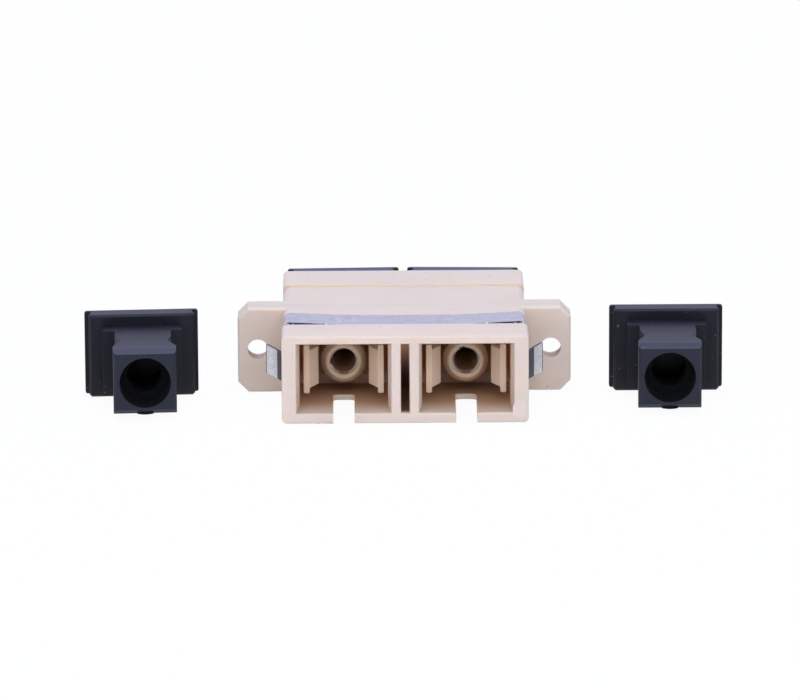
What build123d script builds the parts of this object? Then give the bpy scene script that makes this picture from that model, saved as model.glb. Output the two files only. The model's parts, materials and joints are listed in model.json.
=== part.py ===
from build123d import *
import os
from math import cos, hypot, radians, sin

os.makedirs("parts", exist_ok=True)

# Duplex fibre adapter with push-pull square ports. Lengths are in mm.
# X runs along the flange, Y from the open front ports to the capped rear ones, Z is up.
# The origin is midway between the two screw holes, where the halves of the flange meet.

# Moulded body, made as two shells that meet in the middle of the flange
body_length = 27.4
side_wall = 1.48
collar_height = 9.3
collar_corner = 0.5
front_collar_length = 5.15
rear_collar_length = 6.1
collar_edge = 0.2
collar_bevel = 0.15
mid_side_step = 0.05
mid_top_step = 0.2
mid_corner = 0.9

# Flange ears and their screw holes
ear_length = 4.7
ear_front_thickness = 1.25
ear_rear_thickness = 2.0
flange_corner = 1.1
flange_edge = 0.3
screw_edge_distance = 2.1
screw_hole = 2.15
screw_rear_hole = 2.7

# Ports
port_pitch = 12.7
axis_rise = 0.12
port_height = 7.38
port_width = 9.2
mouth_width = 9.84
lead_in = 3.0
port_depth = 11.9
mouth_edge = 0.1
key_width = 2.2
key_depth = 7.4
key_corner = 0.5
core_slot_width = 0.9
core_slot_depth = 9.5

# Latch pieces: a base held between the shells, two hooked arms and a sleeve barrel
seat_depth = 1.0
seat_margin = 0.6
seat_clearance = 0.05
latch_width = 8.3
arm_height = 5.14
arm_thickness = 0.6
arm_tip_depth = 3.9
arm_edge = 0.15
nose_height = 4.0
nose_reach = 0.93
nose_ramp = 1.8
nose_flat = 0.4
nose_back = 0.15
barrel_diameter = 4.7
barrel_tip_depth = 7.0
barrel_bevel = 0.55
barrel_lip = 0.4
lip_bore = 2.84
lip_bevel = 0.1

# Split sleeves
sleeve_outer = 3.2
sleeve_inner = 2.5
sleeve_end_gap = 0.1
sleeve_slit = 0.6
sleeve_slit_turn = {"left": 95.0, "right": 8.0}
sleeve_clearance = 0.05

# Spring clip of sheet steel
sheet = 0.25
clip_width = 3.9
clip_clearance = 0.02
recess_length = 4.3
recess_depth = 0.3
recess_side_depth = 0.38
recess_corner = 0.6
clip_bow = 0.41
clip_bend = 0.7
clip_front_gap = 0.25
foot_length = 1.3
foot_bend = 0.4
tongue_height = 3.06
tongue_rise = -0.25
tongue_root = 0.5
tongue_length = 3.9
tongue_flare = 1.86
tongue_slot = 0.15
relief_length = 0.9
relief_margin = 0.3

# Dust caps
cap_plate_width = 11.87
cap_plate_thickness = 0.5
cap_pad_width = 11.05
cap_pad_thickness = 1.55
cap_pad_edge = 0.22
cap_margin_top = 1.22
cap_margin_bottom = 0.7
cap_corner = 0.25
cap_plug_top = 3.57
cap_plug_bottom = 3.36
cap_block_width = 8.3
cap_block_length = 1.9
cap_stem_width = 5.85
cap_stem_length = 2.05
cap_neck_width = 5.04
cap_neck_in = 1.75
cap_neck_flat = 0.5
cap_neck_out = 1.85
cap_head_width = 6.53
cap_head_length = 1.6
cap_bevel_top = 0.5
cap_bevel_side = 0.25
cap_bore = 5.27
cap_bore_depth = 3.0
cap_core = 3.6
cap_core_depth = 8.0
cap_bulge = 0.1
cap_bulge_width = 1.7
cap_lift = 0.22
cap_seat_gap = 0.05

# The fitted caps are in upside down and a little crooked. The other two stand beside the body
rear_left_roll = 179.5
rear_right_roll = 180.6
loose_left_x = -27.45
loose_left_y = -2.5
loose_left_turn = 3.5
loose_right_x = 27.45
loose_right_y = -1.65

# How far cuts run past the surface, and how close an edge has to be to count as found
overrun = 1.0
tolerance = 0.01

half_length = body_length / 2
collar_width = port_pitch + mouth_width + 2 * side_wall
flange_width = collar_width + 2 * ear_length
screw_pitch = flange_width - 2 * screw_edge_distance
mid_width = collar_width - 2 * mid_side_step
mid_height = collar_height - 2 * mid_top_step
flange_height = (collar_height + mid_height) / 2
bottom_wall = collar_height / 2 + axis_rise - port_height / 2
web_depth = half_length - port_depth
arm_length = port_depth - arm_tip_depth
barrel_length = half_length - barrel_tip_depth
sleeve_length = 2 * (barrel_length - barrel_lip - sleeve_end_gap)
seat_width = latch_width + 2 * seat_margin
seat_height = arm_height + 2 * seat_margin
sleeve_cavity = sleeve_outer + 2 * sleeve_clearance
ports = {"left": -port_pitch / 2, "right": port_pitch / 2}


def across(y):
    """Plane across the body at y: its X is the part's X, its Y is the part's Z, and it faces the front."""
    return Plane.XZ.offset(-y)


def plan(z):
    """Level plane at height z, seen from above."""
    return Plane.XY.offset(z)


def front_circle(builder, radius):
    """The foremost circular edge with this radius."""
    circles = builder.edges().filter_by(GeomType.CIRCLE)
    return circles.filter_by(lambda edge: abs(edge.radius - radius) < tolerance).sort_by(Axis.Y)[0]


# A shell is drawn as the front half, from the seam at y = 0 towards the front face
def half_shell(collar_length, ear_thickness, ear_hole):
    with BuildPart() as shell:
        # Middle of the body and the thicker collar round the port mouths, rounded at its front
        with BuildSketch(across(0)):
            RectangleRounded(mid_width, mid_height, mid_corner)
        extrude(amount=half_length - collar_length)
        with BuildPart(mode=Mode.PRIVATE) as collar:
            with BuildSketch(across(collar_length - half_length)):
                RectangleRounded(collar_width, collar_height, collar_corner)
            extrude(amount=collar_length)
            fillet(collar.faces().sort_by(Axis.Y)[0].edges(), collar_edge)
            chamfer(collar.faces().sort_by(Axis.Y)[-1].edges(), collar_bevel)
        add(collar.part)

        # Half of the flange, level with the collar below, with its edge towards the front rounded
        with BuildPart(mode=Mode.PRIVATE) as flange:
            with BuildSketch(across(0)) as outline:
                with Locations((0, (mid_height - flange_height) / 2)):
                    Rectangle(flange_width, flange_height)
                chamfer(outline.vertices(), flange_corner)
            extrude(amount=ear_thickness)
            fillet(flange.faces().filter_by(Axis.Y).sort_by(Axis.Y)[0].edges(), flange_edge)
        add(flange.part)
        with BuildSketch(across(0)):
            with GridLocations(screw_pitch, 0, 2, 1):
                Circle(ear_hole / 2)
        extrude(amount=ear_thickness, mode=Mode.SUBTRACT)

        # Port mouths with tapered side walls, then the straight ports down to the web
        for x in ports.values():
            with BuildSketch(across(-half_length)):
                with Locations((x, axis_rise)):
                    Rectangle(mouth_width, port_height)
            with BuildSketch(across(lead_in - half_length)):
                with Locations((x, axis_rise)):
                    Rectangle(port_width, port_height)
            loft(mode=Mode.SUBTRACT)
            with BuildSketch(across(-web_depth)):
                with Locations((x, axis_rise)):
                    Rectangle(port_width, port_height)
            extrude(amount=port_depth - lead_in, mode=Mode.SUBTRACT)

            # Window for the arms and barrel, and the seat of the latch base behind it
            with BuildSketch(across(0)):
                with Locations((x, axis_rise)):
                    Rectangle(latch_width + 2 * seat_clearance, arm_height + 2 * seat_clearance)
            extrude(amount=web_depth, mode=Mode.SUBTRACT)
            with BuildSketch(across(0)):
                with Locations((x, axis_rise)):
                    Rectangle(seat_width + 2 * seat_clearance, seat_height + 2 * seat_clearance)
            extrude(amount=seat_depth, mode=Mode.SUBTRACT)

        # Narrow core slot between the two ports, then the broken edges of all three mouths
        with BuildSketch(across(core_slot_depth - half_length)):
            with Locations((0, axis_rise)):
                Rectangle(core_slot_width, port_height)
        extrude(amount=core_slot_depth, mode=Mode.SUBTRACT)
        front = shell.faces().filter_by(Axis.Y).sort_by(Axis.Y)[0]
        chamfer([edge for wire in front.inner_wires() for edge in wire.edges()], mouth_edge)

        # Key slots through the bottom wall, open to the front
        for x in ports.values():
            with BuildSketch(plan(-collar_height / 2 - overrun)) as key:
                with Locations((x, (key_depth - overrun) / 2 - half_length)):
                    Rectangle(key_width, key_depth + overrun)
                fillet(key.vertices().group_by(Axis.Y)[-1], key_corner)
            extrude(amount=overrun + bottom_wall + port_height / 2, mode=Mode.SUBTRACT)
    return shell


front_half = half_shell(front_collar_length, ear_front_thickness, screw_hole)
rear_half = half_shell(rear_collar_length, ear_rear_thickness, screw_rear_hole)

# The front shell also has the recess for the clip, and a relief behind each of its tongues
recess_front = front_collar_length - half_length
recess_rear = recess_front + recess_length
waist_width = mid_width - 2 * recess_side_depth
waist_height = mid_height - 2 * recess_depth
with BuildPart() as housing_front:
    add(front_half.part)
    with BuildSketch(across(recess_rear)):
        Rectangle(collar_width + overrun, collar_height + overrun)
        RectangleRounded(waist_width, waist_height, recess_corner, mode=Mode.SUBTRACT)
    extrude(amount=recess_length, mode=Mode.SUBTRACT)
    for side in (-1, 1):
        with BuildSketch(across(recess_rear + relief_length)):
            with Locations((side * mid_width / 2, tongue_rise)):
                Rectangle(2 * recess_side_depth, tongue_height + 2 * relief_margin)
        extrude(amount=relief_length, mode=Mode.SUBTRACT)
housing_front.part.label = "housing_front"
export_step(housing_front.part, "parts/housing_front.step")

with BuildPart() as housing_rear:
    mirror(rear_half.part, about=Plane.XZ)
housing_rear.part.label = "housing_rear"
export_step(housing_rear.part, "parts/housing_rear.step")


# A latch piece is drawn for a front port: base at the seam, arms and barrel towards the mouth
def latch_piece(x):
    with BuildPart() as latch:
        with BuildSketch(across(0)):
            with Locations((x, axis_rise)):
                Rectangle(seat_width, seat_height)
        extrude(amount=seat_depth)
        with BuildSketch(across(-seat_depth)):
            with Locations((x, axis_rise)):
                Rectangle(latch_width, arm_height)
        extrude(amount=web_depth - seat_depth)

        # Arms, each a flat bar with a hook nose that slopes towards the mouth
        arm_tip = arm_tip_depth - half_length
        bar_inner = latch_width / 2 - arm_thickness
        nose_inner = bar_inner - nose_reach
        for side in (-1, 1):
            with BuildSketch(across(-web_depth)) as bar:
                with Locations((x + side * (latch_width - arm_thickness) / 2, axis_rise)):
                    RectangleRounded(arm_thickness, arm_height, arm_edge)
            extrude(amount=arm_length)
            with BuildSketch(plan(axis_rise - nose_height / 2)):
                with BuildLine():
                    Polyline(
                        (x + side * (bar_inner + arm_edge), arm_tip),
                        (x + side * bar_inner, arm_tip),
                        (x + side * nose_inner, arm_tip + nose_ramp),
                        (x + side * nose_inner, arm_tip + nose_ramp + nose_flat),
                        (x + side * bar_inner, arm_tip + nose_ramp + nose_flat + nose_back),
                        (x + side * (bar_inner + arm_edge), arm_tip + nose_ramp + nose_flat + nose_back),
                        close=True,
                    )
                make_face()
            extrude(amount=nose_height)

        # Barrel with a bevelled tip, its sleeve cavity and the smaller bore of its lip
        with BuildSketch(across(-web_depth)):
            with Locations((x, axis_rise)):
                Circle(barrel_diameter / 2)
        extrude(amount=barrel_length - web_depth)
        chamfer(front_circle(latch, barrel_diameter / 2), barrel_bevel)
        with BuildSketch(across(0)):
            with Locations((x, axis_rise)):
                Circle(sleeve_cavity / 2)
        extrude(amount=barrel_length - barrel_lip, mode=Mode.SUBTRACT)
        with BuildSketch(across(0)):
            with Locations((x, axis_rise)):
                Circle(lip_bore / 2)
        extrude(amount=barrel_length, mode=Mode.SUBTRACT)
        chamfer(front_circle(latch, lip_bore / 2), lip_bevel)
    return latch


for side_name, x in ports.items():
    port_latch = latch_piece(x)
    port_latch.part.label = "latch_front_" + side_name
    export_step(port_latch.part, "parts/latch_front_" + side_name + ".step")
    with BuildPart() as rear_latch:
        mirror(port_latch.part, about=Plane.XZ)
    rear_latch.part.label = "latch_rear_" + side_name
    export_step(rear_latch.part, "parts/latch_rear_" + side_name + ".step")

    # Split sleeve, loose in the cavity of the two barrels that meet at the seam
    with BuildPart() as sleeve:
        with BuildSketch(across(sleeve_length / 2)) as ring:
            with Locations((x, axis_rise)):
                Circle(sleeve_outer / 2)
                Circle(sleeve_inner / 2, mode=Mode.SUBTRACT)
            slit_reach = (sleeve_outer + sleeve_inner) / 4
            slit_turn = sleeve_slit_turn[side_name]
            slit_x = x - slit_reach * sin(radians(slit_turn))
            slit_z = axis_rise + slit_reach * cos(radians(slit_turn))
            with Locations((slit_x, slit_z)):
                Rectangle(sleeve_slit, sleeve_outer - sleeve_inner, rotation=slit_turn, mode=Mode.SUBTRACT)
        extrude(amount=sleeve_length)
    sleeve.part.label = "sleeve_" + side_name
    export_step(sleeve.part, "parts/sleeve_" + side_name + ".step")

# Spring clip: a strip over the top and down both sides, hooked under the body
clip_side = waist_width / 2 + clip_clearance + sheet
clip_top = waist_height / 2 + clip_clearance + sheet
clip_foot = -clip_top
clip_front = recess_front + clip_front_gap
clip_rear = clip_front + clip_width
with BuildPart() as mounting_clip:
    with BuildSketch(across(clip_rear)):
        with BuildLine():
            ThreePointArc((-clip_side, clip_top + clip_bow), (0, clip_top), (clip_side, clip_top + clip_bow))
            for side in (-1, 1):
                Polyline(
                    (side * clip_side, clip_top + clip_bow),
                    (side * clip_side, clip_foot),
                    (side * (clip_side - foot_length), clip_foot),
                    (side * (clip_side - foot_length), clip_foot + sheet),
                    (side * (clip_side - sheet), clip_foot + sheet),
                    (side * (clip_side - sheet), clip_top + clip_bow - sheet),
                )
            ThreePointArc(
                (-clip_side + sheet, clip_top + clip_bow - sheet),
                (0, clip_top - sheet),
                (clip_side - sheet, clip_top + clip_bow - sheet),
            )
        make_face()
    extrude(amount=clip_width)
    runs = mounting_clip.edges().filter_by(Axis.Y)
    outer_top = [e for e in runs if abs(e.center().X) > clip_side - tolerance and e.center().Z > 0]
    outer_foot = [e for e in runs if abs(e.center().X) > clip_side - tolerance and e.center().Z < 0]
    inner_x = [e for e in runs if abs(abs(e.center().X) - clip_side + sheet) < tolerance]
    inner_top = [e for e in inner_x if e.center().Z > 0]
    inner_foot = [e for e in inner_x if e.center().Z < 0]
    fillet(outer_top, clip_bend)
    fillet(inner_top, clip_bend - sheet)
    fillet(outer_foot, foot_bend)
    fillet(inner_foot, foot_bend - sheet)

    # Window of each tongue, open to the rear, and the tongue that flares out towards the flange
    fold = clip_front + tongue_root
    tongue_slope = hypot(tongue_length, tongue_flare)
    skin_x = sheet * tongue_length / tongue_slope
    skin_y = sheet * tongue_flare / tongue_slope
    for side in (-1, 1):
        with BuildSketch(plan(tongue_rise - tongue_height / 2 - tongue_slot)):
            with Locations((side * clip_side, (fold + clip_rear + overrun) / 2)):
                Rectangle(2 * overrun, clip_rear + overrun - fold)
        extrude(amount=tongue_height + 2 * tongue_slot, mode=Mode.SUBTRACT)
        with BuildSketch(plan(tongue_rise - tongue_height / 2)):
            with BuildLine():
                Polyline(
                    (side * clip_side, clip_front),
                    (side * clip_side, fold),
                    (side * (clip_side + tongue_flare), fold + tongue_length),
                    (side * (clip_side + tongue_flare - skin_x), fold + tongue_length + skin_y),
                    (side * (clip_side - sheet), fold + skin_y),
                    (side * (clip_side - sheet), clip_front),
                    close=True,
                )
            make_face()
        extrude(amount=tongue_height)
mounting_clip.part.label = "mounting_clip"
export_step(mounting_clip.part, "parts/mounting_clip.step")

# Dust cap, drawn with its plug's axis on Y and the front of its plate at y = 0
cap_plug_height = cap_plug_top + cap_plug_bottom
plug_middle = (cap_plug_top - cap_plug_bottom) / 2
plate_height = cap_plug_height + cap_margin_top + cap_margin_bottom
plate_middle = plug_middle + (cap_margin_top - cap_margin_bottom) / 2
neck_start = -cap_block_length - cap_stem_length
neck_end = neck_start - cap_neck_in - cap_neck_flat
head_start = neck_end - cap_neck_out
plug_end = head_start - cap_head_length
half_plan = [
    (cap_stem_width / 2, 0),
    (cap_stem_width / 2, neck_start),
    (cap_neck_width / 2, neck_start - cap_neck_in),
    (cap_neck_width / 2, neck_end),
    (cap_head_width / 2, head_start),
    (cap_head_width / 2, plug_end + cap_bevel_side),
    (cap_head_width / 2 - cap_bevel_side, plug_end),
]
with BuildPart() as cap_form:
    # Plug in plan, with the notches that the hooks of the adapter snap into
    with BuildSketch(plan(-cap_plug_bottom)):
        with BuildLine():
            Polyline(*half_plan, *[(-px, py) for px, py in reversed(half_plan)], close=True)
        make_face()
    extrude(amount=cap_plug_height)
    tip_edges = cap_form.faces().filter_by(Axis.Y).sort_by(Axis.Y)[0].edges().filter_by(Axis.X)
    chamfer(tip_edges, cap_bevel_top)
    with BuildSketch(across(0)):
        with Locations((0, plug_middle)):
            Rectangle(cap_block_width, cap_plug_height)
    extrude(amount=cap_block_length)

    # Low bulge under the tip, then the bore that goes over the barrel
    with BuildSketch(across(plug_end + cap_head_length)):
        with BuildLine():
            ThreePointArc(
                (-cap_bulge_width / 2, -cap_plug_bottom),
                (0, -cap_plug_bottom - cap_bulge),
                (cap_bulge_width / 2, -cap_plug_bottom),
            )
            Line((cap_bulge_width / 2, -cap_plug_bottom), (-cap_bulge_width / 2, -cap_plug_bottom))
        make_face()
    extrude(amount=cap_head_length - cap_bevel_side)
    with BuildSketch(across(plug_end + cap_bore_depth)):
        Circle(cap_bore / 2)
    extrude(amount=cap_bore_depth, mode=Mode.SUBTRACT)
    with BuildSketch(across(plug_end + cap_core_depth)):
        Circle(cap_core / 2)
    extrude(amount=cap_core_depth, mode=Mode.SUBTRACT)

    # Finger plate: a pad with a rounded front edge on a thin wider plate
    with BuildPart(mode=Mode.PRIVATE) as pad:
        with BuildSketch(across(cap_pad_thickness)) as pad_outline:
            with Locations((0, plate_middle)):
                Rectangle(cap_pad_width, plate_height)
            chamfer(pad_outline.vertices(), cap_corner)
        extrude(amount=cap_pad_thickness)
        chamfer(pad.faces().filter_by(Axis.Y).sort_by(Axis.Y)[0].edges(), cap_pad_edge)
    add(pad.part)
    with BuildSketch(across(cap_pad_thickness + cap_plate_thickness)):
        with Locations((0, plate_middle)):
            RectangleRounded(cap_plate_width, plate_height, cap_corner)
    extrude(amount=cap_plate_thickness)

# Two caps close the rear ports, and two stand beside the adapter with their plugs to the front
cap_rest_height = cap_plug_bottom + cap_margin_bottom - collar_height / 2
fitted_y = half_length + cap_seat_gap
fitted_z = axis_rise + cap_lift
cap_places = {
    "cap_rear_left": Location((ports["left"], fitted_y, fitted_z), (0, rear_left_roll, 0)),
    "cap_rear_right": Location((ports["right"], fitted_y, fitted_z), (0, rear_right_roll, 0)),
    "cap_loose_left": Location((loose_left_x, loose_left_y, cap_rest_height), (0, 0, loose_left_turn)),
    "cap_loose_right": Location((loose_right_x, loose_right_y, cap_rest_height)),
}
for cap_name, place in cap_places.items():
    with BuildPart() as dust_cap:
        with Locations(place):
            add(cap_form.part)
    dust_cap.part.label = cap_name
    export_step(dust_cap.part, "parts/" + cap_name + ".step")
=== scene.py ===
# %% [markdown]
# # A duplex fibre adapter and its dust caps
#
# The object is small: a moulded beige body 27 mm long with two square ports at each end, a flange with
# two screw holes, a folded strip of spring steel, and four black dust caps. Two caps are in the rear
# ports, and two were taken off the front and stand beside the body. The solids come ready-made from the
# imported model, in metres and in place. This script gives them their finishes, adds the small marks that
# moulding and stamping leave, and sets up the light and the camera.

import json
from math import asin, cos, radians, sin

import bmesh
import bpy
from mathutils import Matrix, Vector


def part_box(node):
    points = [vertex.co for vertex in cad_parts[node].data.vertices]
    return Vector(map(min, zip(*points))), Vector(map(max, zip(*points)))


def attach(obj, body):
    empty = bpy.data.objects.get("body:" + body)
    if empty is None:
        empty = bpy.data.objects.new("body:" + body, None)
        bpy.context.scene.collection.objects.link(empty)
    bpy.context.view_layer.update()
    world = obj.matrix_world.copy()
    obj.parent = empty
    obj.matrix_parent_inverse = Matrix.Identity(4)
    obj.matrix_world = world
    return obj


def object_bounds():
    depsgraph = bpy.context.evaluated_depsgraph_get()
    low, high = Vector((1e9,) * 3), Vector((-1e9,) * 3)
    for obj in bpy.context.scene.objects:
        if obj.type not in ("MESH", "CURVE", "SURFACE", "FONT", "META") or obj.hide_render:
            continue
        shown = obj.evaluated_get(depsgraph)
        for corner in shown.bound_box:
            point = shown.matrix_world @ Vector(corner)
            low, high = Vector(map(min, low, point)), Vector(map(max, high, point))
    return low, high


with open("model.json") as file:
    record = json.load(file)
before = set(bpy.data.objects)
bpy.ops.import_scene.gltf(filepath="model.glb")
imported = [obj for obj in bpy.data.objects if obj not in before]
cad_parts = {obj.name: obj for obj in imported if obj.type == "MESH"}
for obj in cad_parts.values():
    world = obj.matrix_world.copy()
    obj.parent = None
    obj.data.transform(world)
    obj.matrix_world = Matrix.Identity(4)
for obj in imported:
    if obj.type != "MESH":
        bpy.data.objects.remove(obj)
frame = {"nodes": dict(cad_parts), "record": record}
cad_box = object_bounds()
MM = 0.001

# %% [markdown]
# ## The camera
#
# The ports are seen from the front and slightly from above, from far away, so a long lens is right. A
# camera could be turned by hand until the picture looks right, but its angles and distance were found
# here by fitting it to the measured edges of the body, which comes closer and can be repeated. The three
# directions of the camera are worked out from the viewing angles and become the columns of its matrix.
# The small roll is put in last.

# %% Camera
VIEW_DOWN = radians(15.09)
VIEW_YAW = radians(0.337)
VIEW_ROLL = radians(-0.279)
VIEW_DISTANCE = 718.7 * MM
VIEW_AIM = Vector((-0.524, -13.7, 3.197)) * MM
LENS_PIXELS = 6978.0
FRAME_WIDTH_PIXELS = 800
SENSOR_WIDTH = 36.0
NEAREST_SEEN = 0.05
FARTHEST_SEEN = 20.0

forward = Vector(
    (sin(VIEW_YAW) * cos(VIEW_DOWN), cos(VIEW_YAW) * cos(VIEW_DOWN), -sin(VIEW_DOWN))
)
level_right = Vector((cos(VIEW_YAW), -sin(VIEW_YAW), 0.0))
level_up = level_right.cross(forward)
right = cos(VIEW_ROLL) * level_right + sin(VIEW_ROLL) * level_up
up = cos(VIEW_ROLL) * level_up - sin(VIEW_ROLL) * level_right

camera_data = bpy.data.cameras.new("camera")
camera_data.sensor_width = SENSOR_WIDTH
camera_data.lens = LENS_PIXELS / FRAME_WIDTH_PIXELS * SENSOR_WIDTH
camera_data.clip_start = NEAREST_SEEN
camera_data.clip_end = FARTHEST_SEEN
camera = bpy.data.objects.new("camera", camera_data)
camera.matrix_world = Matrix.Translation(VIEW_AIM - VIEW_DISTANCE * forward) @ Matrix(
    (right, up, -forward)
).transposed().to_4x4()
bpy.context.scene.collection.objects.link(camera)
bpy.context.scene.camera = camera
print("Lens:", round(camera_data.lens, 1), "mm")

# %% [markdown]
# ## Arithmetic on sockets
#
# A finish is easier to read as sums than as a web of nodes. This class wraps one output socket, so that
# `0.4 + 0.1 * noise` adds the Math nodes by itself. Every other node comes from `add`, which sets the
# node's settings first and then its sockets. Python looks for the reflected forms, such as `__radd__`,
# when the plain number stands on the left.


# %% Socket class
class Wire:
    """One node output in a material, with arithmetic that adds Math nodes."""

    def __init__(self, tree, socket=None):
        self.tree = tree
        self.socket = socket

    def add(self, kind, settings=None, sockets=None, output=0):
        node = self.tree.nodes.new(kind)
        for name, value in (settings or {}).items():
            setattr(node, name, value)
        for name, value in (sockets or {}).items():
            if isinstance(value, Wire):
                self.tree.links.new(value.socket, node.inputs[name])
            else:
                node.inputs[name].default_value = value
        return Wire(self.tree, node.outputs[output])

    def output(self, index):
        """Another output of the same node."""
        return Wire(self.tree, self.socket.node.outputs[index])

    def split(self):
        """The three numbers of a vector."""
        first = self.add("ShaderNodeSeparateXYZ", {}, {0: self})
        return first, first.output(1), first.output(2)

    def maths(self, operation, first, second=0.0):
        return self.add("ShaderNodeMath", {"operation": operation}, {0: first, 1: second})

    def __add__(self, other):
        return self.maths("ADD", self, other)

    def __sub__(self, other):
        return self.maths("SUBTRACT", self, other)

    def __rsub__(self, other):
        return self.maths("SUBTRACT", other, self)

    def __mul__(self, other):
        return self.maths("MULTIPLY", self, other)

    def __abs__(self):
        return self.maths("ABSOLUTE", self)

    __radd__ = __add__
    __rmul__ = __mul__

    def ease(self, low, high):
        """0 below low, 1 above high, smooth between."""
        return self.add(
            "ShaderNodeMapRange",
            {"interpolation_type": "SMOOTHSTEP"},
            {"Value": self, "From Min": low, "From Max": high},
        )

    def fade(self, low, high):
        """1 below low, 0 above high, smooth between."""
        return 1.0 - self.ease(low, high)

    def tint(self, base, other):
        """Colour that goes from base to other as this value goes from 0 to 1."""
        return self.add(
            "ShaderNodeMix", {"data_type": "RGBA"}, {0: self, 6: base, 7: other}, output=2
        )


# %% [markdown]
# ## Starting a material
#
# All the finishes begin alike: a Principled shader, the place on the object, and noises whose grain size
# is given in millimetres. An image could carry the same patterns, but it would need an unwrapped mesh
# and would blur close up. The meshes sit where the object is, so Object coordinates are real distances,
# and a pattern has the same scale on every piece. The Normal output beside them tells which way a
# surface faces.

# %% Numbers that every finish uses
NORMAL_OUTPUT = 1
OBJECT_OUTPUT = 3
EDGE_SAMPLES = 6
SCREEN_MAX = 255.0


# %% Material start
def rgb(red, green, blue):
    """Linear colour of a screen colour given as 0 to 255, by the curve that screens use."""

    def straight(value):
        value = value / SCREEN_MAX
        return value / 12.92 if value <= 0.04045 else ((value + 0.055) / 1.055) ** 2.4

    return (straight(red), straight(green), straight(blue), 1.0)


class Finish:
    """A new material with its shader, its surface place and the patterns made from it."""

    def __init__(self, name, **fixed):
        self.material = bpy.data.materials.new(name)
        self.material.use_nodes = True
        self.tree = self.material.node_tree
        self.shader = self.tree.nodes["Principled BSDF"]
        for socket, value in fixed.items():
            self.shader.inputs[socket.replace("_", " ")].default_value = value
        self.start = Wire(self.tree)
        self.point = self.start.add("ShaderNodeTexCoord", output=OBJECT_OUTPUT)
        self.x, self.y, self.z = [place * (1.0 / MM) for place in self.point.split()]
        self.facing_x, self.facing_y, self.facing_z = self.point.output(NORMAL_OUTPUT).split()

    def from_axis(self, axis_x, axis_z):
        """Distance in mm from the line along Y at axis_x, on either side, and axis_z."""
        aside = abs(self.x) - axis_x
        raised = self.z - axis_z
        return self.start.maths("SQRT", aside * aside + raised * raised)

    def noise(self, size_mm, detail=2.0, stretch=(1.0, 1.0, 1.0), roughness=0.5):
        """Noise from 0 to 1 with grains about size_mm across, longer where stretch is below 1."""
        placed = self.start.add(
            "ShaderNodeMapping", {}, {"Vector": self.point, "Scale": stretch}
        )
        return self.start.add(
            "ShaderNodeTexNoise",
            {},
            {
                "Vector": placed,
                "Scale": 1.0 / (size_mm * MM),
                "Detail": detail,
                "Roughness": roughness,
            },
        )

    def bump(self, height, depth_mm, under=None):
        """Normal of a surface that rises by depth_mm where height goes from 0 to 1."""
        sockets = {"Height": height, "Strength": 1.0, "Distance": depth_mm * MM}
        if under is not None:
            sockets["Normal"] = under
        return self.start.add("ShaderNodeBump", {}, sockets)

    def soft_edges(self, radius_mm):
        """Normal that rounds every sharp edge off by radius_mm."""
        return self.start.add(
            "ShaderNodeBevel", {"samples": EDGE_SAMPLES}, {"Radius": radius_mm * MM}
        )

    def feed(self, **links):
        for socket, wire in links.items():
            self.tree.links.new(wire.socket, self.shader.inputs[socket.replace("_", " ")])
        return self.material


# %% [markdown]
# ## Beige moulded plastic
#
# The body is a filled engineering plastic. It is nearly one colour, with a faint cloudiness, a fine
# spark-eroded grain that takes the shine off, and corners that catch the light. A few dark specks of
# dust lie on it. Light also goes a little way into it and comes out warmer, which subsurface scattering
# gives. A plain colour would do from afar, but close up it looks like paper. The thin marks on the
# surface get no scattering, because so thin a piece would only turn grey with it.

# %% Plastic values
PLASTIC_GLOSS = 0.4
LIGHT_INSIDE = 0.5
LIGHT_REACH = (1.0, 0.5, 0.25)
LIGHT_DEPTH = 1.2 * MM
CLOUD_SIZE = 6.0
CLOUD_RANGE = (0.35, 0.75)
GRAIN_SIZE = 0.12
GRAIN_DEPTH = 0.004
SPECK_SIZE = 0.4
SPECK_RANGE = (0.86, 0.885)
SPECK_SHARE = 0.6
SPECK_TONE = rgb(96, 84, 84)
PLASTIC_ROUGH = 0.42
GRAIN_ROUGH = 0.12
CORNER_SOFTNESS = 0.07


# %% Plastic function
def moulded_plastic(name, colour, shade, light_inside=LIGHT_INSIDE, tones_and_painted_light=None):
    """Beige plastic. The function passed in for place tones adds what differs from place to place,
    painted shade and light among it.
    """
    finish = Finish(
        name,
        Specular_IOR_Level=PLASTIC_GLOSS,
        Subsurface_Weight=light_inside,
        Subsurface_Radius=LIGHT_REACH,
        Subsurface_Scale=LIGHT_DEPTH,
    )
    clouds = finish.noise(CLOUD_SIZE, detail=3.0)
    grain = finish.noise(GRAIN_SIZE)
    specks = finish.noise(SPECK_SIZE, detail=0.0).ease(*SPECK_RANGE)
    base = clouds.ease(*CLOUD_RANGE).tint(colour, shade)
    base = (SPECK_SHARE * specks).tint(base, SPECK_TONE)
    if tones_and_painted_light:
        base = tones_and_painted_light(finish, base)
    return finish.feed(
        Base_Color=base,
        Roughness=PLASTIC_ROUGH + GRAIN_ROUGH * grain,
        Normal=finish.bump(grain, GRAIN_DEPTH, finish.soft_edges(CORNER_SOFTNESS)),
    )


# %% [markdown]
# ## The seam and the joint in the screw holes
#
# The body is two shells that meet in the middle of the flange, at y = 0. Outside, the joint is a thin
# line, darker where it is scuffed. In the screw holes it shows as a dark ring. The shells are separate
# solids and touch, so no gap can be seen, and the line is put in by colour.

# %% Seam
SEAM = (0.02, 0.05)
SEAM_TONE = rgb(168, 140, 124)
CLEAN_SEAM = 0.25
SCUFFED_SEAM = 0.5
SCUFF_SIZE = 0.9
SCUFF_RANGE = (0.45, 0.7)
HOLE_JOINT = (0.06, 0.16)
HOLE_FROM = (14.1, 14.2)
HOLE_HIGH = (1.15, 1.2)
HOLE_TONE = rgb(122, 96, 88)


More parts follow.
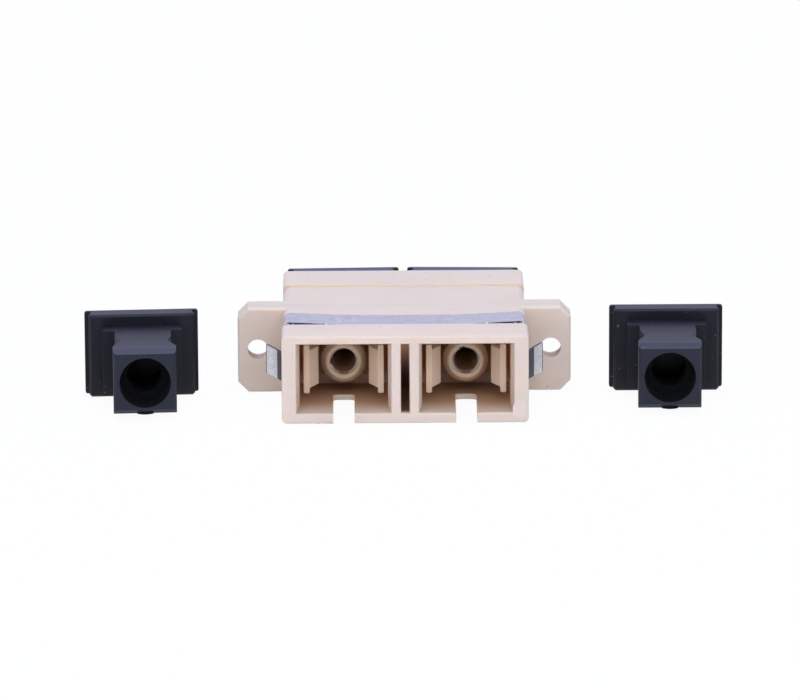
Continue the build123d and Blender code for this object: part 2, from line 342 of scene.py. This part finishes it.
def seam_tones(finish, base):
    scuff = finish.noise(SCUFF_SIZE).ease(*SCUFF_RANGE)
    seam_share = abs(finish.y).fade(*SEAM) * (CLEAN_SEAM + SCUFFED_SEAM * scuff)
    base = seam_share.tint(base, SEAM_TONE)
    in_hole = abs(finish.x).ease(*HOLE_FROM) * abs(finish.z).fade(*HOLE_HIGH)
    return (in_hole * abs(finish.y).fade(*HOLE_JOINT)).tint(base, HOLE_TONE)


# %% [markdown]
# ## Deep inside the ports
#
# Light that gets far into a port has bounced off beige walls many times, and each bounce makes it warmer
# and darker. The renderer's bounces give part of that. The floors of the ports and the narrow core slot
# between them get a painted warm shade for the rest, which grows with the depth.

# %% Port tones
PAINTED_DEEP_SHADE = rgb(186, 148, 112)
PAINTED_SLOT_SHADE = rgb(164, 128, 104)
INNER_WALLS_WITHIN = (11.3, 11.4)
CORE_SLOT_HALF = (0.6, 0.65)
FACING_UP = (0.5, 0.8)
FLOOR_LOW = (-2.6, -2.2)
FLOOR_FADE = (8.5, 13.5)
SLOT_FADE = (12.6, 13.3)
SLOT_DEEP = (-2.5, 1.5)


def inner_and_slot(finish):
    """1 between the outer walls, and 1 in the core slot."""
    return abs(finish.x).fade(*INNER_WALLS_WITHIN), abs(finish.x).fade(*CORE_SLOT_HALF)


def painted_port_shade(finish, base):
    inner, in_slot = inner_and_slot(finish)
    # Painted warm shade on the port floors, deeper inwards.
    port_floor_shade = inner * (1.0 - in_slot) * finish.z.fade(*FLOOR_LOW)
    port_floor_shade = port_floor_shade * finish.facing_z.ease(*FACING_UP) * abs(finish.y).fade(*FLOOR_FADE)
    base = port_floor_shade.tint(base, PAINTED_DEEP_SHADE)
    # Painted shade on the walls of the core slot, deeper inwards and low down.
    slot_wall_shade = in_slot * abs(finish.y).fade(*SLOT_FADE) * finish.z.fade(*SLOT_DEEP)
    return slot_wall_shade.tint(base, PAINTED_SLOT_SHADE)


# %% [markdown]
# ## Light through the thin walls
#
# The walls between and beside the ports are so thin that some light comes through them, and that light is
# warm. The scattering set above left these walls darker than the real ones, so a faint painted glow, an
# emission on the inner side walls, stands for the rest. It starts behind the mouth, and in the core slot
# it is stronger high up.

# %% Wall glow
SIDE_FACING = (0.8, 0.95)
GLOW_DEPTH = (11.2, 12.6)
SLOT_GLOW_HEIGHT = (-1.5, 2.5)
BLACK = (0.0, 0.0, 0.0, 1.0)
PAINTED_PORT_GLOW = rgb(64, 38, 18)
PAINTED_SLOT_GLOW = rgb(114, 102, 102)


def painted_wall_glow(finish):
    inner, in_slot = inner_and_slot(finish)
    # A painted glow, put in as emission, on the inner side walls.
    where = abs(finish.facing_x).ease(*SIDE_FACING) * inner * abs(finish.y).fade(*GLOW_DEPTH)
    where = where * (1.0 - in_slot * finish.z.fade(*SLOT_GLOW_HEIGHT))
    return where.tint(BLACK, in_slot.tint(PAINTED_PORT_GLOW, PAINTED_SLOT_GLOW))


# %% [markdown]
# ## The step of the rear collar
#
# The rear collar stands a little higher than the middle of the body. Light is caught in the small step,
# and a cream line shows along it, broader than the step itself. The step is in the solid. Its front face
# gets a painted shade, and a band on the top along it gets a painted warm light.

# %% Collar step
COLLAR_STEP = 7.6
STEP_FROM = (7.2, 7.3)
STEP_TO = (7.9, 8.0)
STEP_HEIGHT = (4.3, 4.4)
STEP_FACING = (0.3, 0.7)
STEP_SHARE = 0.6
STEP_PAINTED_SHADE = rgb(206, 180, 152)
BESIDE_STEP = (0.2, 0.42)
BESIDE_HEIGHT = (4.2, 4.3)
BESIDE_SHARE = 0.55
BESIDE_STEP_PAINTED_LIGHT = rgb(232, 206, 168)


def painted_step_light_and_shade(finish, base):
    # Painted shade on the front face of the step.
    step = (0.0 - finish.facing_y).ease(*STEP_FACING) * finish.y.ease(*STEP_FROM)
    step = step * finish.y.fade(*STEP_TO) * abs(finish.z).ease(*STEP_HEIGHT)
    base = (STEP_SHARE * step).tint(base, STEP_PAINTED_SHADE)
    # Painted warm light on a band along the step.
    beside = abs(finish.y - COLLAR_STEP).fade(*BESIDE_STEP)
    beside = beside * abs(finish.z).ease(*BESIDE_HEIGHT)
    return (BESIDE_SHARE * beside).tint(base, BESIDE_STEP_PAINTED_LIGHT)


# %% [markdown]
# ## The two beige finishes
#
# The body gets all the tones above, one after the other: the seam, and the painted shade, glow and light.
# The thin plastic is the same beige without any of them, for the small marks that are added later.


# %% Body plastic and thin plastic
def body_seam_and_painted_light(finish, base):
    # The painted glow of the inner walls goes in as emission.
    finish.feed(Emission_Color=painted_wall_glow(finish))
    finish.shader.inputs["Emission Strength"].default_value = 1.0
    return painted_step_light_and_shade(finish, painted_port_shade(finish, seam_tones(finish, base)))


body_plastic = moulded_plastic(
    "body_plastic", rgb(229, 208, 185), rgb(225, 204, 180), tones_and_painted_light=body_seam_and_painted_light
)
thin_plastic = moulded_plastic(
    "thin_plastic", rgb(228, 207, 186), rgb(225, 204, 182), light_inside=0.0
)
print("Plastics:", body_plastic.name, "and", thin_plastic.name)

# %% [markdown]
# ## The latch pieces
#
# The hooked arms and the barrels are a second, yellower moulding behind the mouth. Their bases lie deep
# in the port, so they get the painted deep shade, and so does the bevel round each barrel. The lip of the
# right barrel has a nick over the slit of its sleeve. It is half a millimetre wide and nothing fits into
# it, so it is not cut, and a painted dark shade stands in its place.

# %% Latch plastic
SLEEVE_APART = 6.35
SLEEVE_HEIGHT = 0.12
RIM_FROM = (1.85, 2.1)
RIM_TO = (2.4, 2.45)
RIM_SHARE = 0.8
BASE_DEPTH = (3.5, 6.0)
NICK_X = 5.95
NICK_WIDTH = (0.27, 0.29)
NICK_OUTER = (1.54, 1.56)
NICK_ABOVE = (1.15, 1.2)
NICK_BEFORE = (-1.0, 0.0)
NICK_PAINTED_SHADE = rgb(14, 9, 7)


def latch_painted_shade(finish, base):
    from_axis = finish.from_axis(SLEEVE_APART, SLEEVE_HEIGHT)
    barrel_rim = from_axis.ease(*RIM_FROM) * from_axis.fade(*RIM_TO)
    # Painted shade on the bevel round each barrel and on the bases deep in the port.
    base = (RIM_SHARE * barrel_rim).tint(base, PAINTED_DEEP_SHADE)
    base = abs(finish.y).fade(*BASE_DEPTH).tint(base, PAINTED_DEEP_SHADE)
    # A painted dark shade where the nick over the slit is.
    nick = abs(finish.x - NICK_X).fade(*NICK_WIDTH) * from_axis.fade(*NICK_OUTER)
    nick = nick * finish.z.ease(*NICK_ABOVE) * finish.y.fade(*NICK_BEFORE)
    return nick.tint(base, NICK_PAINTED_SHADE)


latch_plastic = moulded_plastic(
    "latch_plastic", rgb(224, 199, 167), rgb(219, 193, 160), tones_and_painted_light=latch_painted_shade
)
print("Plastic:", latch_plastic.name)

# %% [markdown]
# ## Rolled steel
#
# The clip is stamped from cold-rolled strip. Its faces carry fine lines along the strip, which runs
# across the body and then down its sides, and look satin with a cool colour. The sheared edges are rough,
# and their dark colour, like that of the tongue tips, is painted shade. The tongues are bent out after
# stamping and are smoother than the band; their lighter colour is a painted reflection, and a dark band
# at the bend is painted shade. The lines are a noise stretched along the strip, which never repeats as an
# image would.

# %% Steel values
STRIP_SIDE = (12.3, 12.5)
LINE_SIZE = 0.09
LINE_STRETCH = 0.08
LINE_DEPTH = 0.0015
LINE_RANGE = (0.35, 0.7)
LINE_SHARE = 0.6
PATCH_SIZE = 1.2
PATCH_SHARE = 0.4
MOTTLE_SIZE = 0.22
MOTTLE_RANGE = (0.4, 0.62)
TONE_SHARE = 0.65
MOTTLE_SHARE = 0.35
STEEL_LIGHT = rgb(204, 199, 196)
STEEL_DARK = rgb(144, 141, 144)
TONGUE_FROM = (12.75, 12.8)
TONGUE_SHEEN_LIGHT = rgb(240, 240, 250)
TONGUE_SHEEN_DARK = rgb(208, 207, 222)
TONGUE_BEND_LEFT = 13.24
TONGUE_BEND_RIGHT = 13.46
BEND_SOFT = (0.0, 0.06)
BEND_PAINTED_SHADE = rgb(74, 73, 88)
TONGUE_TIP = (14.37, 14.4)
CUT_FACING_FRONT = (0.8, 0.95)
CUT_FACING_UP = (0.7, 0.9)
CUT_PAINTED_SHADE = rgb(84, 84, 100)
STEEL_ROUGH = 0.32
TONGUE_SMOOTH = 0.08
PATCH_ROUGH = 0.12
CUT_ROUGH = 0.2
STEEL_EDGE = 0.03
LEFT_TO_RIGHT = (-1.0, 1.0)


# %% Steel function
def rolled_steel():
    finish = Finish("clip_steel", Metallic=1.0)
    on_side = abs(finish.x).ease(*STRIP_SIDE)
    across_lines = finish.noise(LINE_SIZE, detail=3.0, stretch=(LINE_STRETCH, 1.0, 1.0))
    down_lines = finish.noise(LINE_SIZE, detail=3.0, stretch=(1.0, 1.0, LINE_STRETCH))
    lines = across_lines * (1.0 - on_side) + down_lines * on_side
    patches = finish.noise(PATCH_SIZE, detail=3.0)
    tone = lines.ease(*LINE_RANGE) * LINE_SHARE + patches * PATCH_SHARE
    mottle = finish.noise(MOTTLE_SIZE, detail=3.0, roughness=0.65).ease(*MOTTLE_RANGE)
    colour = (TONE_SHARE * tone + MOTTLE_SHARE * mottle).tint(STEEL_LIGHT, STEEL_DARK)
    tongue = abs(finish.x).ease(*TONGUE_FROM)
    # The lighter colour of the tongues is a painted reflection.
    colour = tongue.tint(colour, mottle.tint(TONGUE_SHEEN_LIGHT, TONGUE_SHEEN_DARK))
    on_right = finish.x.ease(*LEFT_TO_RIGHT)
    bend_end = TONGUE_BEND_LEFT + (TONGUE_BEND_RIGHT - TONGUE_BEND_LEFT) * on_right
    # Painted shade in a band at the bend of each tongue.
    bend = (abs(finish.x) - bend_end).fade(*BEND_SOFT)
    colour = (tongue * bend).tint(colour, BEND_PAINTED_SHADE)
    # The sheared edges and the tongue tips are rougher, and their darker colour is painted shade.
    shaded_cut_front = (0.0 - finish.facing_y).ease(*CUT_FACING_FRONT) * (1.0 - tongue)
    shaded_cut_top = finish.facing_z.ease(*CUT_FACING_UP) * tongue
    shaded_tip = abs(finish.x).ease(*TONGUE_TIP)
    cut = finish.start.maths("MAXIMUM", finish.start.maths("MAXIMUM", shaded_cut_front, shaded_cut_top), shaded_tip)
    colour = cut.tint(colour, CUT_PAINTED_SHADE)
    roughness = STEEL_ROUGH - TONGUE_SMOOTH * tongue + PATCH_ROUGH * patches + CUT_ROUGH * cut
    return finish.feed(
        Base_Color=colour,
        Roughness=roughness,
        Normal=finish.bump(lines, LINE_DEPTH, finish.soft_edges(STEEL_EDGE)),
    )


clip_steel = rolled_steel()
print("Steel:", clip_steel.name)

# %% [markdown]
# ## Sleeves
#
# The two split sleeves are springy bronze, ground inside. Deep in the bore they only mirror the beige
# around them, so they look brown there. The rim is a narrow ring, and the photo shows it bright on its
# lower sides alone. One metal with a few tones by place does this: a painted shade on the rim, browner
# below as a painted reflection, and painted glints on its lower sides, where a ring of its own would be a
# piece that the real sleeve hasn't got.

# %% Sleeve metal
SLEEVE_LIGHT = rgb(232, 202, 174)
SLEEVE_DARK = rgb(212, 182, 154)
RING_SIZE = 0.08
RING_STRETCH = 0.1
RING_DEPTH = 0.001
RING_ROUGH = 0.08
RIM_FACING = (0.7, 0.9)
RIM_PAINTED_SHADE = rgb(128, 118, 112)
RIM_BELOW = (-1.15, -0.95)
RIM_BELOW_PAINTED_REFLECTION = rgb(150, 126, 110)
GLINT_FROM = (1.34, 1.37)
GLINT_ASIDE = (0.35, 0.6)
GLINT_HEIGHT = (-0.6, 0.4)
PAINTED_GLINT_TONE = rgb(252, 242, 230)
GLINT_SMOOTH = 0.2
BORE_METAL = 0.6
RIM_METAL = 0.35
BRONZE_ROUGH = 0.45
BRONZE_EDGE = 0.03


def sleeve_bronze():
    finish = Finish("sleeve_metal")
    rings = finish.noise(RING_SIZE, stretch=(1.0, RING_STRETCH, 1.0))
    rim = abs(finish.facing_y).ease(*RIM_FACING)
    aside = abs(abs(finish.x) - SLEEVE_APART)
    raised = finish.z - SLEEVE_HEIGHT
    from_axis = finish.from_axis(SLEEVE_APART, SLEEVE_HEIGHT)
    low_sides = aside.ease(*GLINT_ASIDE) * raised.fade(*GLINT_HEIGHT)
    glint = rim * from_axis.ease(*GLINT_FROM) * low_sides
    colour = rings.tint(SLEEVE_LIGHT, SLEEVE_DARK)
    # The rim gets a painted shade, browner below as a painted reflection, and painted glints on its lower
    # sides.
    colour = rim.tint(colour, RIM_PAINTED_SHADE)
    colour = (rim * raised.fade(*RIM_BELOW)).tint(colour, RIM_BELOW_PAINTED_REFLECTION)
    colour = glint.tint(colour, PAINTED_GLINT_TONE)
    return finish.feed(
        Base_Color=colour,
        Metallic=BORE_METAL + RIM_METAL * rim,
        Roughness=BRONZE_ROUGH - GLINT_SMOOTH * glint + RING_ROUGH * rings,
        Normal=finish.bump(rings, RING_DEPTH, finish.soft_edges(BRONZE_EDGE)),
    )


sleeve_metal = sleeve_bronze()
print("Sleeve:", sleeve_metal.name)

# %% [markdown]
# ## Black caps
#
# The dust caps are a softer black plastic with a bluish bloom. They pick up pale specks of dust, and the
# square head, which is rubbed each time it goes into a port, is greyer than the finger plate. A painted
# shade makes the caps darker and bluer towards the bottom, and painted highlights lighten the upward
# bevel of the head and the flat tops and bottoms of the fitted caps. The bores of the two loose caps
# swallow all light. A bore this black could be made much deeper than it is, but a painted black shade and
# a rougher finish inside it do the same. The left cap stands turned, so its bore is followed along a
# slanting axis.

# %% Cap values
HEAD = (9.6, 11.6)
LOOSE_APART = 27.45
LEFT_TURN = 0.0612
LEFT_PIVOT = -2.5
LOOSE_AXIS_HEIGHT = -0.59
BORE_RADIUS = (2.66, 2.68)
BORE_END = (-4.5, -4.0)
BORE_PAINTED_SHADE = rgb(1, 1, 2)
CAP_GLOSS = 0.34
CAP_CLOUD_SIZE = 2.5
CAP_CLOUD_RANGE = (0.3, 0.75)
CAP_DARK = rgb(13, 15, 25)
CAP_LIGHT = rgb(18, 20, 32)
LOW_PART = (-4.0, 1.5)
LOW_SHARE = 0.7
LOW_PAINTED_SHADE = rgb(6, 7, 20)
RUBBED_SHARE = 0.7
RUBBED_CLOUDS = 0.3
RUBBED_TONE = rgb(28, 31, 45)
BEVEL_FACING_FROM = (0.4, 0.6)
BEVEL_FACING_TO = (0.85, 0.95)
BEVEL_PAINTED_HIGHLIGHT = rgb(62, 62, 74)
FITTED_FROM = (12.0, 13.0)
TOP_FACING = (0.3, 0.8)
TOP_PAINTED_HIGHLIGHT = rgb(56, 58, 80)
DUST_SIZE = 0.3
DUST_RANGE = (0.785, 0.82)
DUST_SHARE = 0.6
DUST_TONE = rgb(165, 165, 175)
CAP_GRAIN_SIZE = 0.15
CAP_GRAIN_DEPTH = 0.006
CAP_ROUGH = 0.42
CAP_GRAIN_ROUGH = 0.14
BORE_ROUGH = 0.4
CAP_SOFTNESS = 0.06


# %% Cap functions
def in_loose_bore(finish):
    """1 inside the bores of the two caps that stand beside the body."""
    on_left = finish.x.fade(*LEFT_TO_RIGHT)
    axis_x = LOOSE_APART - on_left * LEFT_TURN * (LEFT_PIVOT - finish.y)
    near_axis = finish.from_axis(axis_x, LOOSE_AXIS_HEIGHT).fade(*BORE_RADIUS)
    return near_axis * finish.y.fade(*BORE_END)


def cap_plastic():
    finish = Finish("cap_black", Specular_IOR_Level=CAP_GLOSS)
    clouds = finish.noise(CAP_CLOUD_SIZE, detail=3.0)
    grain = finish.noise(CAP_GRAIN_SIZE)
    dust = finish.noise(DUST_SIZE, detail=1.0, roughness=0.3).ease(*DUST_RANGE)
    rubbed = (0.0 - finish.y).ease(*HEAD)
    on_bevel = finish.facing_z.ease(*BEVEL_FACING_FROM) * finish.facing_z.fade(*BEVEL_FACING_TO)
    painted_top_light = finish.y.ease(*FITTED_FROM) * abs(finish.facing_z).ease(*TOP_FACING)
    in_bore = in_loose_bore(finish)
    base = clouds.ease(*CAP_CLOUD_RANGE).tint(CAP_DARK, CAP_LIGHT)
    # Painted shade, darker and bluer towards the bottom.
    base = (LOW_SHARE * finish.z.fade(*LOW_PART)).tint(base, LOW_PAINTED_SHADE)
    base = (rubbed * (RUBBED_SHARE + RUBBED_CLOUDS * clouds)).tint(base, RUBBED_TONE)
    # Painted highlight on the upward bevel of the head.
    base = (rubbed * on_bevel).tint(base, BEVEL_PAINTED_HIGHLIGHT)
    # Painted highlight on the flat tops and bottoms of the fitted caps.
    base = painted_top_light.tint(base, TOP_PAINTED_HIGHLIGHT)
    base = (DUST_SHARE * dust).tint(base, DUST_TONE)
    # Painted shade blackens the bores of the loose caps.
    base = in_bore.tint(base, BORE_PAINTED_SHADE)
    return finish.feed(
        Base_Color=base,
        Roughness=CAP_ROUGH + CAP_GRAIN_ROUGH * grain + BORE_ROUGH * in_bore,
        Normal=finish.bump(grain, CAP_GRAIN_DEPTH, finish.soft_edges(CAP_SOFTNESS)),
    )


cap_black = cap_plastic()
print("Caps:", cap_black.name)

# %% [markdown]
# ## Each node gets its finish
#
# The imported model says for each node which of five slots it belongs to. The finishes are handed out by
# slot, so no node can be forgotten, and two pieces of one moulding always match.

# %% Hand out the finishes
FINISH_OF_SLOT = {
    "housing": body_plastic,
    "latch": latch_plastic,
    "sleeve": sleeve_metal,
    "clip": clip_steel,
    "cap": cap_black,
}
for part in frame["record"]["subparts"]:
    mesh = frame["nodes"][part["node"]].data
    mesh.materials.clear()
    mesh.materials.append(FINISH_OF_SLOT[part["material_slot"]])
print("Finishes:", ", ".join(sorted(FINISH_OF_SLOT)))

# %% [markdown]
# ## Beads
#
# Moulding and stamping leave hair-fine raised lines. A bump in the finish could show them, but it has no
# outline and no shadow, so each one is a real bead: a tiny ring is drawn at the start of an arc and spun
# round the arc's centre, and its two ends are closed. All the arcs here lie in upright planes across
# the body, so one function makes them all.


# %% Bead functions
BEAD_SIDES = 8
BEAD_STEPS = 14


def make_piece(name, shape, finish):
    """Turn a finished bmesh into a piece that the adapter carries."""
    bmesh.ops.recalc_face_normals(shape, faces=shape.faces[:])
    mesh = bpy.data.meshes.new(name)
    shape.to_mesh(mesh)
    shape.free()
    mesh.materials.append(finish)
    piece = bpy.data.objects.new(name, mesh)
    bpy.context.scene.collection.objects.link(piece)
    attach(piece, "adapter")


def bead(name, centre_mm, radius_mm, start, turn, thick_mm, finish):
    """Round bead along an arc that starts at the angle start, measured from the top towards +X."""
    centre = Vector(centre_mm) * MM
    at_start = (
        Matrix.Translation(centre)
        @ Matrix.Rotation(start, 4, "Y")
        @ Matrix.Translation((0.0, 0.0, radius_mm * MM))
        @ Matrix.Rotation(radians(90), 4, "Y")
    )
    shape = bmesh.new()
    bmesh.ops.create_circle(
        shape, segments=BEAD_SIDES, radius=thick_mm * MM / 2, matrix=at_start
    )
    bmesh.ops.spin(
        shape,
        geom=shape.verts[:] + shape.edges[:],
        cent=centre,
        axis=(0.0, 1.0, 0.0),
        angle=turn,
        steps=BEAD_STEPS,
    )
    bmesh.ops.holes_fill(shape, edges=shape.edges[:], sides=0)
    make_piece(name, shape, finish)


# %% [markdown]
# ## Ejector marks on the front
#
# Round pins push the body out of its mould by its front walls. Each pin leaves a circle, of which only
# two short arcs lie on the narrow wall beside a port. Each arc is a bead that is sunk into the wall
# until only its crest stands out.

# %% Ejector marks
FRONT_FACE = -13.7
PIN_RADIUS = 2.4
PIN_HEIGHT = 0.05
PIN_MARKS = (("left", -12.0), ("right", 12.05))
ARC_SPAN = radians(25)
MARK_THICK = 0.06
SUNK = 0.012

for side_name, pin_x in PIN_MARKS:
    for end_name, middle in (("top", 0.0), ("bottom", radians(180))):
        bead(
            "ejector_mark_" + side_name + "_" + end_name,
            (pin_x, FRONT_FACE + SUNK, PIN_HEIGHT),
            PIN_RADIUS,
            middle - ARC_SPAN / 2,
            ARC_SPAN,
            MARK_THICK,
            thin_plastic,
        )
print("Ejector marks:", 2 * len(PIN_MARKS))

# %% [markdown]
# ## The pad at the corner of the mouth
#
# One more pin stood at the lower right corner of the front. It left a round pad that reaches a little
# over the edge of the port and ends where the outer side begins. A flat cylinder is drawn, cut by a
# plane at the side, closed again, and its front rim is bevelled so that it catches the light.

# %% Corner pad
PAD_CENTRE = (12.2, -13.68, -3.22)
PAD_RADIUS = 1.12
PAD_THICK = 0.07
PAD_EDGE = 0.02
PAD_CUT = 12.5
PAD_SIDES = 40

pad = bmesh.new()
bmesh.ops.create_cone(
    pad,
    cap_ends=True,
    segments=PAD_SIDES,
    radius1=PAD_RADIUS * MM,
    radius2=PAD_RADIUS * MM,
    depth=PAD_THICK * MM,
    matrix=Matrix.Translation(Vector(PAD_CENTRE) * MM) @ Matrix.Rotation(radians(90), 4, "X"),
)
bmesh.ops.bisect_plane(
    pad,
    geom=pad.verts[:] + pad.edges[:] + pad.faces[:],
    plane_co=(PAD_CUT * MM, 0.0, 0.0),
    plane_no=(1.0, 0.0, 0.0),
    clear_outer=True,
)
bmesh.ops.holes_fill(pad, edges=pad.edges[:], sides=0)
front_rim = [
    edge
    for edge in pad.edges
    if len(edge.link_faces) == 2
    and all(corner.co.y < PAD_CENTRE[1] * MM for corner in edge.verts)
]
bmesh.ops.bevel(
    pad,
    geom=front_rim,
    offset=PAD_EDGE * MM,
    affect="EDGES",
    segments=2,
    profile=0.5,
    material=-1,
)
make_piece("corner_pad", pad, thin_plastic)
print("Pad edges bevelled:", len(front_rim))

# %% [markdown]
# ## Flash under the mouth
#
# Under the left port the two halves of the mould did not close quite tightly, and a thread of flash
# stands on the edge, in two lengths. A bead on an arc of 60 mm radius is as good as straight.

# %% Flash
FLASH_HEIGHT = -4.61
FLASH_RADIUS = 60.0
FLASH_THICK = 0.07
FLASHES = ((-9.2, -8.8), (-8.3, -7.5))

for number, (flash_from, flash_to) in enumerate(FLASHES, 1):
    span = (flash_to - flash_from) / FLASH_RADIUS
    bead(
        "mould_flash_" + str(number),
        ((flash_from + flash_to) / 2, FRONT_FACE, FLASH_HEIGHT + FLASH_RADIUS),
        FLASH_RADIUS,
        radians(180) - span / 2,
        span,
        FLASH_THICK,
        thin_plastic,
    )
print("Flashes:", len(FLASHES))

# %% [markdown]
# ## Burr along the clip
#
# Shearing the strip leaves a burr on the lower front edge of the band. It shows only where the band bows
# up from the body, near its two ends, and it is broken. The band follows a very flat arc, so each length
# of burr is a bead on that same arc. The third number of each says how far it lies below the top of the
# band. The burr's finish is plain and smoother than the strip, and its pale, nearly white colour is a
# painted glint.

# %% Burr steel
BURR_GRAIN_SIZE = 0.1
BURR_GLINT_LIGHT = rgb(250, 248, 245)
BURR_GLINT_DARK = rgb(225, 224, 228)
BURR_ROUGH = 0.15
BURR_GRAIN_ROUGH = 0.1


def burr_with_painted_glint():
    finish = Finish("burr_with_painted_glint", Metallic=1.0)
    grain = finish.noise(BURR_GRAIN_SIZE)
    # The nearly white colour of the burr is a painted glint.
    return finish.feed(
        Base_Color=grain.tint(BURR_GLINT_LIGHT, BURR_GLINT_DARK),
        Roughness=BURR_ROUGH + BURR_GRAIN_ROUGH * grain,
    )


glint_burr_metal = burr_with_painted_glint()
print("Burr finish:", glint_burr_metal.name)

# %% Clip burr
BAND_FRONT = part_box("mounting_clip")[0].y / MM
BAND_HALF = 12.57
BAND_BOW = 0.41
BAND_TOP = 4.42
BAND_RADIUS = (BAND_HALF ** 2 + BAND_BOW ** 2) / (2 * BAND_BOW)
BURR_THICK = 0.09
BURRS = (
    (-12.38, -11.96, 0.2),
    (-11.7, -11.5, 0.17),
    (-8.25, -8.0, 0.02),
    (8.4, 8.6, 0.03),
    (11.4, 11.6, 0.17),
    (11.96, 12.38, 0.2),
)

for number, (burr_from, burr_to, below_top) in enumerate(BURRS, 1):
    first = radians(180) - asin(burr_from / BAND_RADIUS)
    last = radians(180) - asin(burr_to / BAND_RADIUS)
    bead(
        "clip_burr_" + str(number),
        (0.0, BAND_FRONT, BAND_TOP - below_top + BAND_RADIUS),
        BAND_RADIUS,
        first,
        last - first,
        BURR_THICK,
        glint_burr_metal,
    )
print("Burrs:", len(BURRS), "on an arc of", round(BAND_RADIUS), "mm radius")

# %% [markdown]
# ## Floor
#
# The set is one pale sheet. What the camera and the reflections see of it should be white, while the
# light that it throws on the object stays at a plain level. More lamp light would give the white, but
# would also bleach the object. So the floor mixes a matte surface with a white one by Light Path: rays
# from the camera and from reflections see mostly the white, all other rays see the matte, and a little
# of the matte stays in the picture to keep the shadow. The sheet lies a hair under the object, so that
# no two faces fall together.

# %% Floor
FLOOR_HALF = 1.5
FLOOR_GAP = 0.02 * MM
FLOOR_GLOW = 0.95
FLOOR_MATTE = (0.96, 0.96, 0.96, 1.0)
WHITE = (1.0, 1.0, 1.0, 1.0)
GLOSSY_RAY = 3
TRANSMITTED_RAY = 6

floor_sheet = bmesh.new()
bmesh.ops.create_grid(floor_sheet, x_segments=1, y_segments=1, size=FLOOR_HALF)
bmesh.ops.translate(
    floor_sheet, verts=floor_sheet.verts, vec=(0.0, 0.0, cad_box[0].z - FLOOR_GAP)
)
floor_mesh = bpy.data.meshes.new("floor")
floor_sheet.to_mesh(floor_mesh)
floor_sheet.free()
floor = bpy.data.objects.new("floor", floor_mesh)
bpy.context.scene.collection.objects.link(floor)

floor_material = bpy.data.materials.new("floor_white")
floor_material.use_nodes = True
floor_tree = floor_material.node_tree
floor_tree.nodes.remove(floor_tree.nodes["Principled BSDF"])
floor_nodes = Wire(floor_tree)
seen = floor_nodes.add("ShaderNodeLightPath")
white_share = floor_nodes.maths("MAXIMUM", seen, seen.output(GLOSSY_RAY)) * FLOOR_GLOW
white = floor_nodes.add("ShaderNodeEmission", {}, {"Color": WHITE, "Strength": 1.0})
matte = floor_nodes.add("ShaderNodeBsdfDiffuse", {}, {"Color": FLOOR_MATTE})
mixed = floor_nodes.add("ShaderNodeMixShader", {}, {0: white_share, 1: matte, 2: white})
floor_tree.links.new(mixed.socket, floor_tree.nodes["Material Output"].inputs["Surface"])
floor_mesh.materials.append(floor_material)
print("Floor at", round(cad_box[0].z / MM, 2), "mm")

# %% [markdown]
# ## World
#
# Steel and glossy black show what is around them. Behind the object they should mirror a bright,
# slightly bluish wall, and from the viewer's side only a dim room, so that the front faces don't turn
# milky. The world is therefore three things, told apart by Light Path: white for the camera, the two
# walls for reflections, and a weak even light for everything else.

# %% World
WORLD_LIGHT = (0.2, 0.21, 0.26, 1.0)
BACK_REFLECTION = (0.95, 0.97, 1.32, 1.0)
FRONT_REFLECTION = (0.12, 0.13, 0.16, 1.0)
WALLS_MEET = (-0.15, 0.25)

world = bpy.data.worlds.new("world")
world.use_nodes = True
bpy.context.scene.world = world
sky = Wire(world.node_tree)
ray = sky.add("ShaderNodeLightPath")
behind = sky.add("ShaderNodeTexCoord").split()[1].ease(*WALLS_MEET)
mirrored_colour = behind.tint(FRONT_REFLECTION, BACK_REFLECTION)
lit_colour = ray.output(GLOSSY_RAY).tint(WORLD_LIGHT, mirrored_colour)
plain_view = sky.maths("MAXIMUM", ray, ray.output(TRANSMITTED_RAY))
sky_colour = plain_view.tint(lit_colour, WHITE)
world.node_tree.links.new(
    sky_colour.socket, world.node_tree.nodes["Background"].inputs["Color"]
)
print("World:", world.name)

# %% [markdown]
# ## Soft boxes
#
# The photo has soft light from above and in front, and no hard shadow. One large lamp overhead lights
# the tops, one in front and above lights the faces, and two at the sides fill the mouths of the ports.
# A single lamp in front at eye level would light the ports to their ends, where the real ones are dark.


# %% Soft boxes
LAMP_COLOUR = (0.9, 0.99, 1.27)
SOFT_BOXES = (
    ("top_light", (0.0, 0.1, 0.7), (0.7, 0.5), 3.0),
    ("front_light", (0.0, -0.6, 0.54), (0.9, 0.3), 2.3),
    ("left_light", (-0.5, -0.6, 0.28), (0.4, 0.4), 1.35),
    ("right_light", (0.5, -0.6, 0.28), (0.4, 0.4), 1.35),
)


def soft_box(name, place, size, watts):
    """Area lamp at place, in metres, turned to the object."""
    data = bpy.data.lights.new(name, "AREA")
    data.shape = "RECTANGLE"
    data.size, data.size_y = size
    data.energy = watts
    data.color = LAMP_COLOUR
    lamp = bpy.data.objects.new(name, data)
    lamp.location = place
    lamp.rotation_euler = (-Vector(place)).to_track_quat("-Z", "Y").to_euler()
    bpy.context.scene.collection.objects.link(lamp)


for settings in SOFT_BOXES:
    soft_box(*settings)
print("Soft boxes:", len(SOFT_BOXES))

# %% [markdown]
# ## View transform
#
# The Standard view transform shows a colour as it is written.

# %% View transform
bpy.context.scene.view_settings.view_transform = "Standard"
